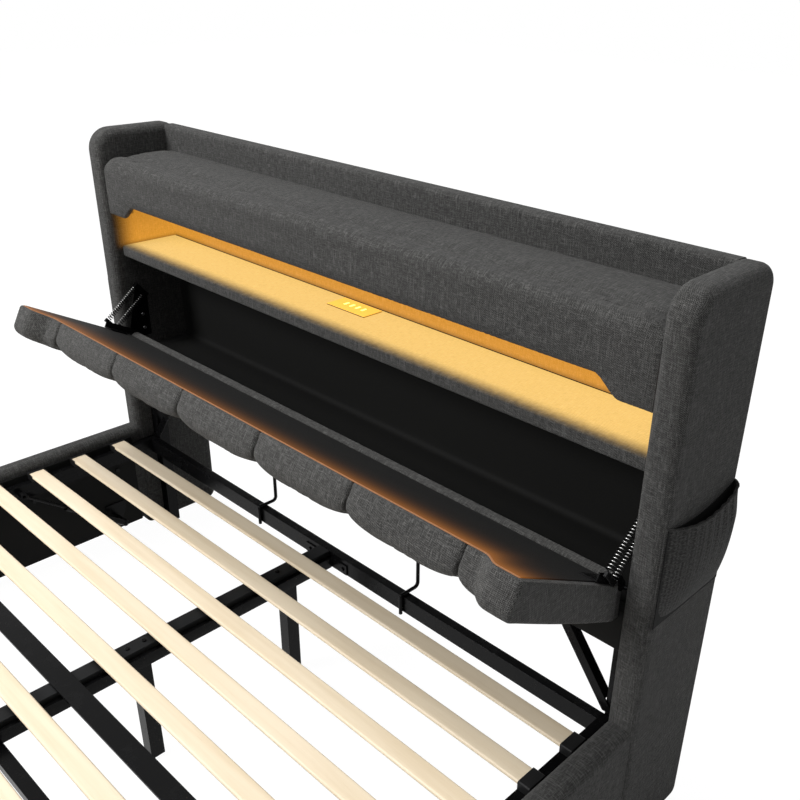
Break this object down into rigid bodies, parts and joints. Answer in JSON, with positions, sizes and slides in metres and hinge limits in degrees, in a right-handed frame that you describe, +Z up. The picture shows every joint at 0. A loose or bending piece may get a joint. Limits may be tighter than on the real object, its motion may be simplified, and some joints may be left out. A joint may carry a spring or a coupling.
{
  "type": "upholstered lift-up storage bed",
  "caption": "Upholstered storage bed: box headboard with lit niche, sprung drop-down padded flap and side pockets, and a slatted frame that lifts on gas struts.",
  "frame": {"origin": "on the floor under the middle of the whole bed's outline", "axes": "+Z up, +Y towards the headboard, +X to the right as seen from the foot looking at the headboard"},
  "size_m": [1.687, 2.306, 1.086],
  "materials": {
    "cloth": "charcoal linen weave",
    "flap_cloth": "charcoal linen weave, padded",
    "pocket_cloth": "charcoal mesh",
    "lining": "black lining",
    "board": "plywood",
    "birch": "pale birch",
    "black_steel": "satin black",
    "strip_steel": "satin dark grey",
    "bright_steel": "bright",
    "spring_steel": "oiled spring wire",
    "black_plastic": "moulded",
    "panel_plastic": "satin",
    "light": "diffuser"
  },
  "bodies": {
    "root": {"wing_left": "cloth", "wing_right": "cloth", "back_panel": "cloth", "ledge_board": "board", "ledge_pad": "cloth", "led_strip": "light", "shelf": "cloth", "charging_panel": "panel_plastic", "charging_module": "black_plastic", "box_floor": "board", "box_lining": "lining", "box_lip": "cloth", "apron": "lining", "post_left": "black_steel", "post_right": "black_steel", "brace_left": "black_steel", "brace_right": "black_steel", "flap_hinge_left": "black_steel", "flap_hinge_right": "black_steel", "panel_screws": "bright_steel", "side_rail_left": "cloth", "side_rail_right": "cloth", "rail_liner_left": "lining", "rail_liner_right": "lining", "footboard": "cloth", "floor_glides": "black_plastic", "pocket_left": "pocket_cloth", "pocket_right": "pocket_cloth", "lift_hinge_left": "black_steel", "lift_hinge_right": "black_steel", "strut_brackets": "black_steel"},
    "flap": {"flap_board": "board", "flap_pad": "flap_cloth", "flap_liner": "lining", "flap_arm_left": "black_steel", "flap_arm_right": "black_steel"},
    "slatted_frame": {"head_tube": "black_steel", "foot_tube": "black_steel", "side_tube_left": "black_steel", "side_tube_right": "black_steel", "centre_rail": "black_steel", "rail_strip": "strip_steel", "cross_bars": "black_steel", "frame_legs": "black_steel", "frame_bolts": "black_steel", "mattress_retainer": "black_steel", "slat_caps": "black_plastic", "slats_head": "birch", "slats_middle": "birch", "slats_foot": "birch"},
    "spring_carrier_left": {"spring_yoke_left": "black_steel", "spring_pair_left": "spring_steel"},
    "spring_end_left": {"spring_foot_left": "black_steel"},
    "strut_cylinder_left": {"strut_cylinder_left": "black_steel"},
    "strut_rod_left": {"strut_rod_left": "black_steel"},
    "spring_carrier_right": {"spring_yoke_right": "black_steel", "spring_pair_right": "spring_steel"},
    "spring_end_right": {"spring_foot_right": "black_steel"},
    "strut_cylinder_right": {"strut_cylinder_right": "black_steel"},
    "strut_rod_right": {"strut_rod_right": "black_steel"}
  },
  "joints": [
    {"name": "flap_hinge", "type": "hinge", "parent": "root", "child": "flap", "pos_m": [0, 0.96, 0.5725], "axis": [-1, 0, 0], "range_deg": [0, 61]},
    {"name": "frame_lift", "type": "hinge", "parent": "root", "child": "slatted_frame", "pos_m": [0, 0.938, 0.259], "axis": [-1, 0, 0], "range_deg": [0, 40]},
    {"name": "spring_swing_left", "type": "hinge", "parent": "root", "child": "spring_carrier_left", "pos_m": [-0.759, 0.994, 0.692], "axis": [-1, 0, 0], "range_deg": [-28.95, 0.5]},
    {"name": "spring_draw_left", "type": "slide", "parent": "spring_carrier_left", "child": "spring_end_left", "axis": [0, 0.7854, 0.619], "range_m": [-0.0002, 0.06569], "deforming": ["spring_pair_left"]},
    {"name": "strut_swing_left", "type": "hinge", "parent": "root", "child": "strut_cylinder_left", "pos_m": [-0.722, 0.838, 0.07], "axis": [-1, 0, 0], "range_deg": [-0.5, 31.31]},
    {"name": "strut_slide_left", "type": "slide", "parent": "strut_cylinder_left", "child": "strut_rod_left", "axis": [0, -0.7977, 0.6031], "range_m": [-0.0005, 0.13391]},
    {"name": "spring_swing_right", "type": "hinge", "parent": "root", "child": "spring_carrier_right", "pos_m": [0.759, 0.994, 0.692], "axis": [-1, 0, 0], "range_deg": [-28.95, 0.5]},
    {"name": "spring_draw_right", "type": "slide", "parent": "spring_carrier_right", "child": "spring_end_right", "axis": [0, 0.7854, 0.619], "range_m": [-0.0002, 0.06569], "deforming": ["spring_pair_right"]},
    {"name": "strut_swing_right", "type": "hinge", "parent": "root", "child": "strut_cylinder_right", "pos_m": [0.722, 0.838, 0.07], "axis": [-1, 0, 0], "range_deg": [-0.5, 31.31]},
    {"name": "strut_slide_right", "type": "slide", "parent": "strut_cylinder_right", "child": "strut_rod_right", "axis": [0, -0.7977, 0.6031], "range_m": [-0.0005, 0.13391]}
  ],
  "couplings": [
    {"joint": "spring_swing_left", "follows": "flap_hinge", "ratio": -0.46635},
    {"joint": "spring_draw_left", "follows": "flap_hinge", "m_per_rad": 0.061514},
    {"joint": "strut_swing_left", "follows": "frame_lift", "ratio": 0.77022},
    {"joint": "strut_slide_left", "follows": "frame_lift", "m_per_rad": 0.19109},
    {"joint": "spring_swing_right", "follows": "flap_hinge", "ratio": -0.46635},
    {"joint": "spring_draw_right", "follows": "flap_hinge", "m_per_rad": 0.061514},
    {"joint": "strut_swing_right", "follows": "frame_lift", "ratio": 0.77022},
    {"joint": "strut_slide_right", "follows": "frame_lift", "m_per_rad": 0.19109}
  ]
}
